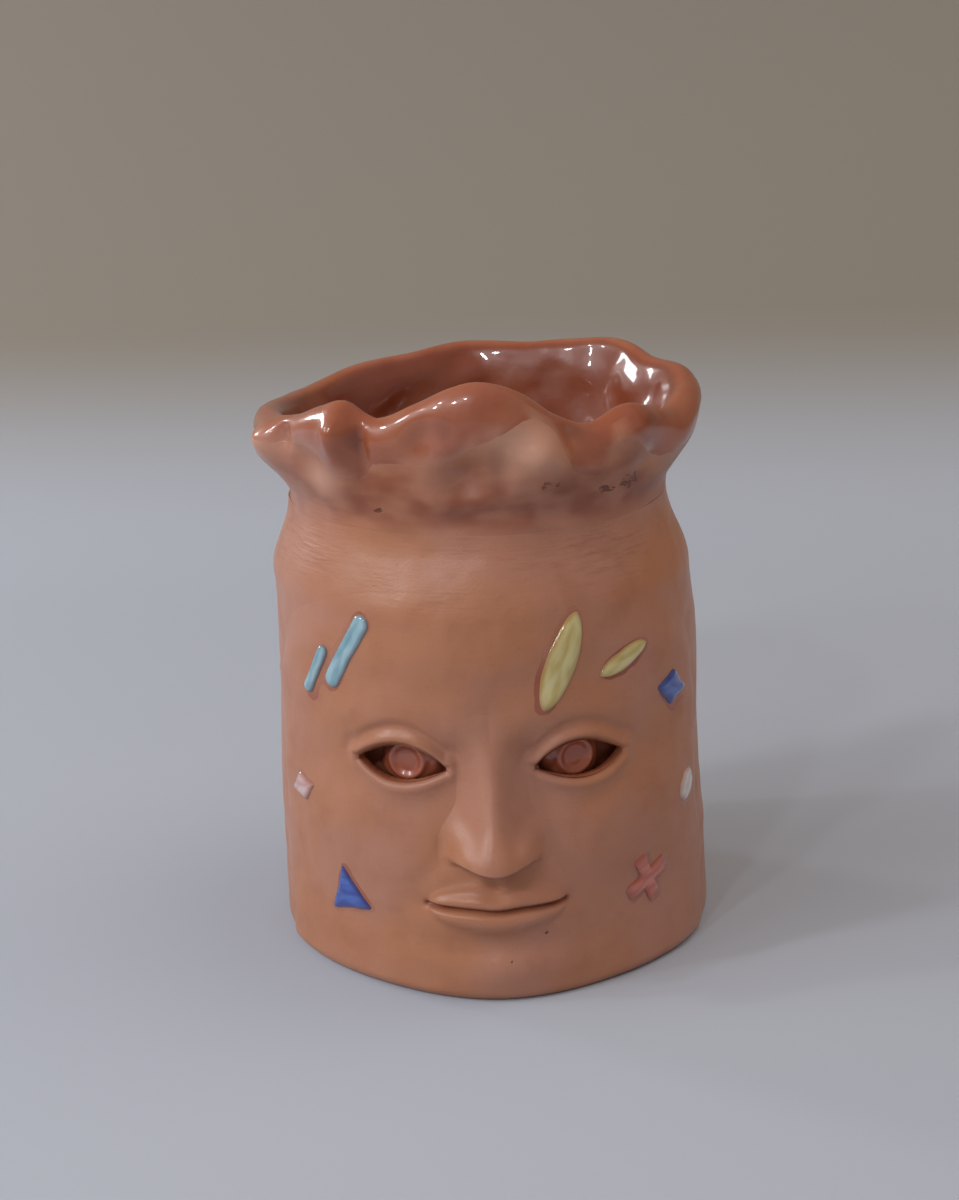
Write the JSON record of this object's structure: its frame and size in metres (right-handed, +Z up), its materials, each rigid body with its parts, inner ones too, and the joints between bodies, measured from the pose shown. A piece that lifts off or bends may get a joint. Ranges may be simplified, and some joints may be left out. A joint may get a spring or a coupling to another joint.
{
  "type": "face vase",
  "caption": "Hand-built terracotta vase with a ruffled glazed rim, a calm face laid over its front and raised coloured glaze marks all round.",
  "frame": {"origin": "middle of the foot, on the surface the vase stands on", "axes": "+Z up, -Y the way the face looks, +X to the right as seen from the front"},
  "size_m": [0.0989, 0.1065, 0.1297],
  "materials": {
    "terracotta": "unglazed fired clay, satin, with fine wiping lines",
    "clear_glazed_terracotta": "clear gloss glaze over terracotta",
    "glazed_eyeball": "clear gloss glaze over terracotta",
    "yellow_glaze": "raised gloss glaze, a little translucent",
    "turquoise_glaze": "raised gloss glaze",
    "cobalt_glaze": "raised gloss glaze",
    "coral_glaze": "raised gloss glaze",
    "pink_glaze": "raised gloss glaze",
    "white_glaze": "raised gloss glaze"
  },
  "bodies": {
    "root": {"floor_slab": "terracotta", "vessel_wall": "terracotta", "face_slab": "terracotta", "nose": "terracotta", "ruffled_rim": "clear_glazed_terracotta", "left_eyeball": "glazed_eyeball", "right_eyeball": "glazed_eyeball", "yellow_leaf": "yellow_glaze", "yellow_leaf_small": "yellow_glaze", "yellow_bar": "yellow_glaze", "yellow_triangle": "yellow_glaze", "turquoise_bar": "turquoise_glaze", "turquoise_bar_short": "turquoise_glaze", "turquoise_triangle": "turquoise_glaze", "turquoise_leaf": "turquoise_glaze", "cobalt_diamond": "cobalt_glaze", "cobalt_triangle": "cobalt_glaze", "cobalt_leaf": "cobalt_glaze", "coral_cross": "coral_glaze", "coral_leaf": "coral_glaze", "coral_bar": "coral_glaze", "pink_diamond": "pink_glaze", "pink_cross": "pink_glaze", "white_dab": "white_glaze", "white_diamond": "white_glaze"}
  },
  "joints": []
}
